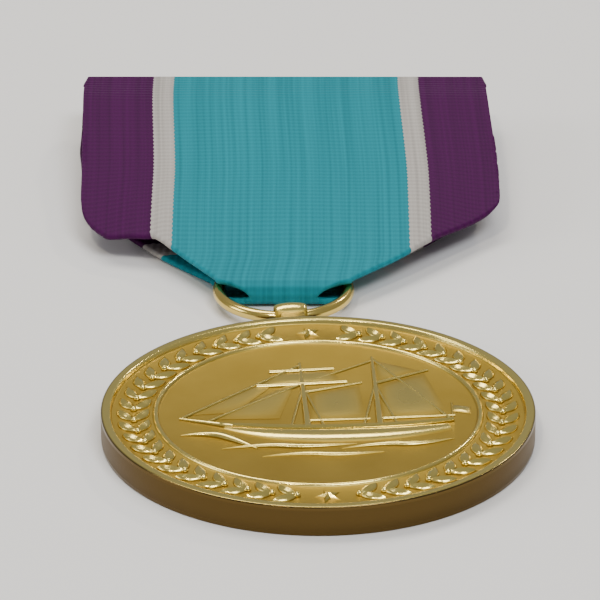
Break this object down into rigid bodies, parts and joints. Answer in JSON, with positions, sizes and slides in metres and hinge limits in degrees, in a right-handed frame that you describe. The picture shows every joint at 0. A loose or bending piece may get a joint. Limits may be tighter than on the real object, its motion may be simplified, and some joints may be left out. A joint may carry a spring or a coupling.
{
  "type": "military service medal",
  "caption": "Struck gilt disc on a wire ring, hung from a folded striped ribbon drape with a riveted bar and a safety pin at the back.",
  "frame": {"origin": "bottom centre of the bounding box: the surface that the medal lies on, face up", "axes": "+Z out of the medal's face, +Y from the disc towards the brooch at the top of the ribbon, +X to the right seen from the front"},
  "size_m": [0.0368, 0.0776, 0.005],
  "materials": {
    "satin_gold": "struck bronze with matt gilding",
    "polished_gold": "polished gilt wire",
    "ribbon_cloth": "ribbed rayon ribbon with purple, white and teal stripes",
    "tack_thread": "twisted sewing thread",
    "brooch_brass": "pressed and soldered brass",
    "pin_steel": "drawn and nickel-plated wire"
  },
  "bodies": {
    "drape": {"ribbon": "ribbon_cloth", "tack_stitch_left": "tack_thread", "tack_stitch_right": "tack_thread", "brooch_bar": "brooch_brass", "clamp_plate": "brooch_brass", "rivet_left": "brooch_brass", "rivet_right": "brooch_brass", "hinge_bracket": "brooch_brass", "hinge_rivet": "brooch_brass", "catch_base": "brooch_brass"},
    "ring": {"suspension_ring": "polished_gold"},
    "medallion": {"planchet": "satin_gold", "suspension_lug": "satin_gold"},
    "pin": {"pin_stem": "pin_steel"},
    "safety_sleeve": {"catch_sleeve": "brooch_brass"}
  },
  "joints": [
    {"name": "ring_turn", "type": "hinge", "parent": "drape", "child": "ring", "pos_m": [-0.00094, 0.00189, 0.0012], "axis": [0, 0, 1], "range_deg": [-26, 13]},
    {"name": "medal_swing", "type": "hinge", "parent": "ring", "child": "medallion", "pos_m": [-0.00035, -0.00332, 0.0012], "axis": [-0.9936, -0.1132, 0], "range_deg": [-120, 120]},
    {"name": "pin_open", "type": "hinge", "parent": "drape", "child": "pin", "pos_m": [0.01166, 0.03349, 0.00125], "axis": [0, -1, 0], "range_deg": [0, 100]},
    {"name": "sleeve_lock", "type": "hinge", "parent": "drape", "child": "safety_sleeve", "pos_m": [-0.01314, 0.03349, 0.00125], "axis": [1, 0, 0], "range_deg": [0, 120]}
  ]
}
